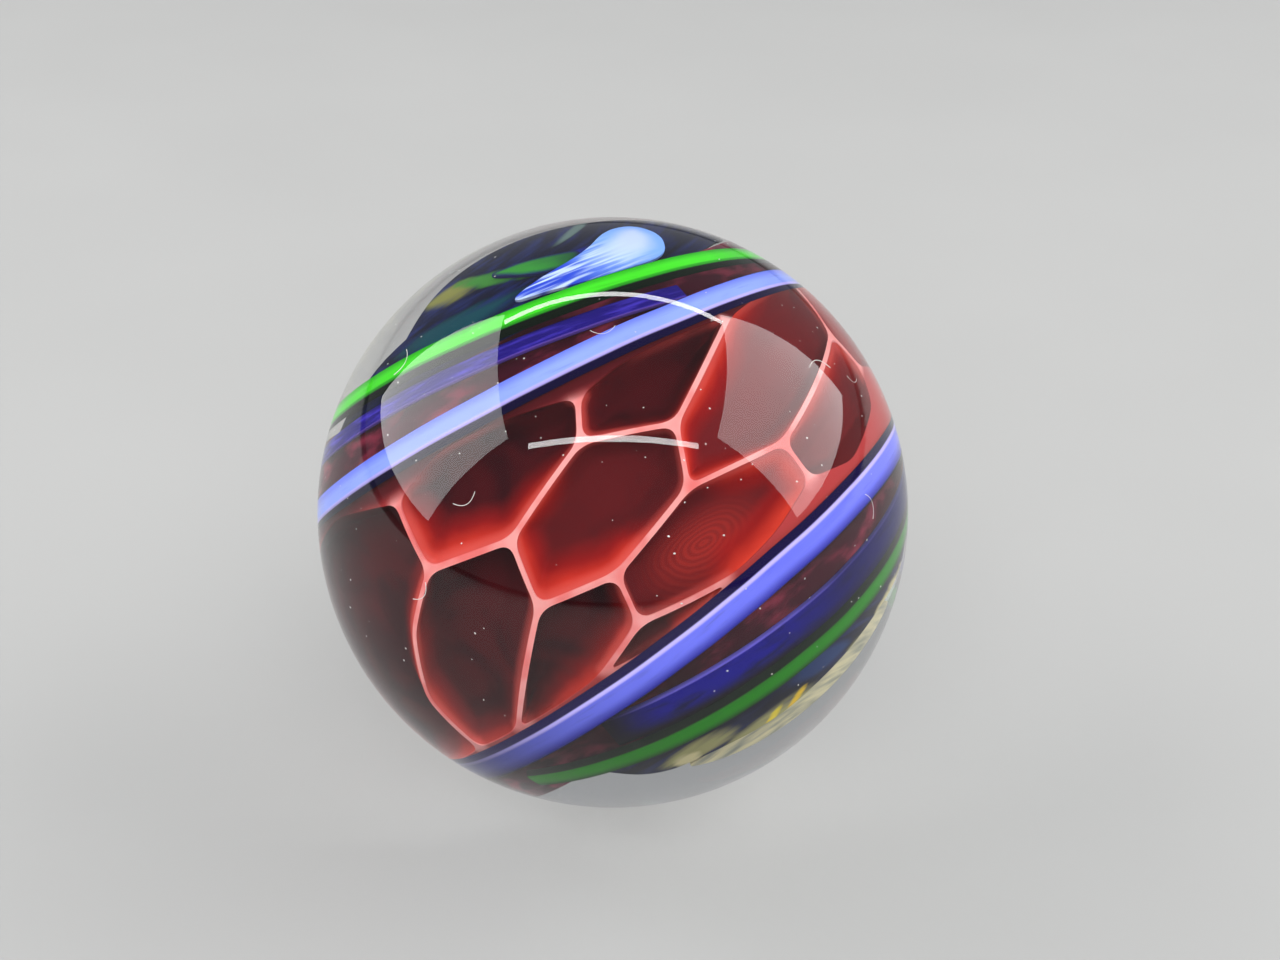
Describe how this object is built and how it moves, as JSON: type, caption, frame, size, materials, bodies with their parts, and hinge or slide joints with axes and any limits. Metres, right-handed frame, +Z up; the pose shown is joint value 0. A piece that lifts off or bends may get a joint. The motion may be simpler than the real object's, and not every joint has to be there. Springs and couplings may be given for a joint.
{
  "type": "glass marble",
  "caption": "Solid clear glass ball with sunk, twisted red cells in a pale net, flattened blue and green canes, dark ribbons and thin leaves of coloured glass fused under its surface.",
  "frame": {"origin": "centre of the ball", "axes": "+Z up, away from the ring that the ball sits in; -Y is the front, towards the patterned face; +X to the right"},
  "size_m": [0.035, 0.035, 0.035],
  "materials": {
    "clear_glass": "fire-polished clear glass",
    "red_glass": "deep garnet glass",
    "pink_glass": "pale pink glass",
    "periwinkle_glass": "opaque periwinkle glass over cobalt",
    "green_glass": "bright green glass",
    "cobalt_glass": "dense cobalt glass",
    "plum_glass": "dark plum glass",
    "opal_glass": "milky blue opal glass",
    "navy_glass": "deep blue glass",
    "straw_glass": "pale straw glass"
  },
  "bodies": {
    "root": {"clear_ball": "clear_glass", "red_cells": "red_glass", "cell_walls": "pink_glass", "upper_blue_cane": "periwinkle_glass", "lower_blue_cane": "periwinkle_glass", "upper_green_cane": "green_glass", "lower_green_cane": "green_glass", "upper_cobalt_ribbon": "cobalt_glass", "lower_cobalt_ribbon": "cobalt_glass", "upper_plum_ribbon": "plum_glass", "lower_plum_ribbon": "plum_glass", "opal_leaf": "opal_glass", "green_leaf": "green_glass", "upper_navy_leaf": "navy_glass", "lower_navy_leaf": "navy_glass", "straw_leaf": "straw_glass"}
  },
  "joints": []
}
